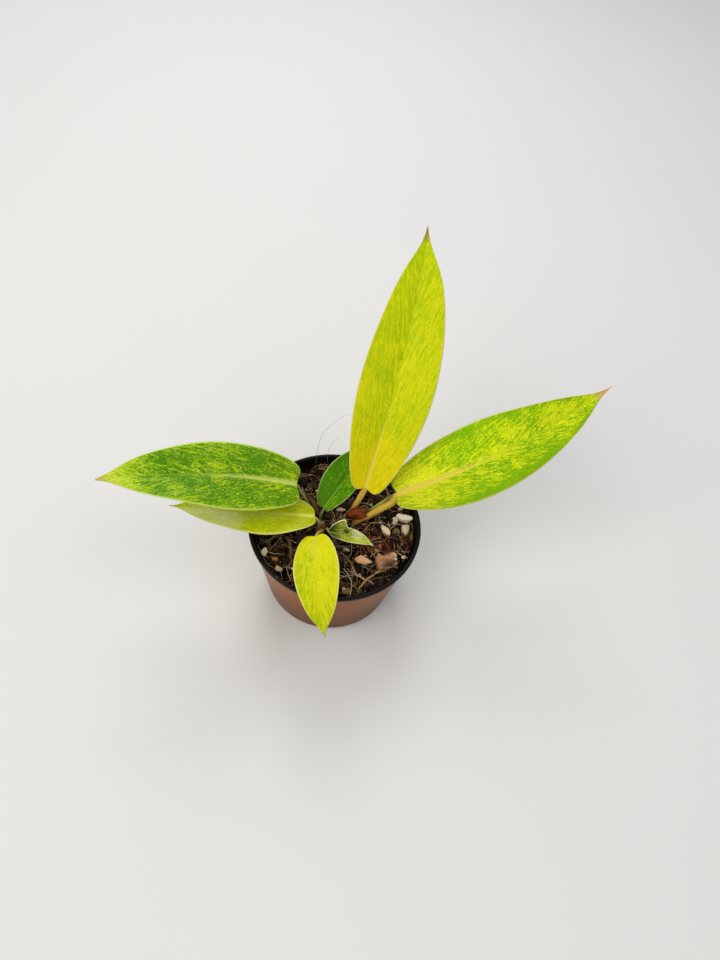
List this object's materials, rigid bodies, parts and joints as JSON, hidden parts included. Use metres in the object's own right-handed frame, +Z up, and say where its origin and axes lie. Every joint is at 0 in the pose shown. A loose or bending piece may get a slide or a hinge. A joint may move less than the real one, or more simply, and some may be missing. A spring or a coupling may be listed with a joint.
{
  "type": "potted philodendron",
  "caption": "Potted foliage plant with lance-shaped variegated leaves on short stalks, in a round tapered plastic nursery pot filled with a stony bark mix.",
  "frame": {"origin": "centre of the pot's underside, in the plane that the plant stands on", "axes": "+Z up along the pot's axis, -Y towards the front of the plant, +X to its right"},
  "size_m": [0.2446, 0.1686, 0.1674],
  "materials": {
    "leaf_yellow": "waxy leaf, yellow-green with green streaks",
    "leaf_green": "waxy leaf, green with pale speckles and streaks",
    "stem": "smooth young stem",
    "sheath": "dry papery leaf sheath",
    "pot_plastic": "thin moulded plastic, satin gloss",
    "mix": "bark, coir and stones, rough"
  },
  "bodies": {
    "root": {"leaf_tall": "leaf_yellow", "leaf_right": "leaf_yellow", "leaf_upper_left": "leaf_green", "leaf_lower_left": "leaf_yellow", "leaf_back_small": "leaf_green", "leaf_front": "leaf_yellow", "leaf_torn": "leaf_green", "sheath_brown": "sheath", "cataphyll_red": "sheath", "stem_left": "stem", "stem_right": "stem", "young_shoot": "stem", "pot": "pot_plastic", "potting_mix": "mix"}
  },
  "joints": []
}
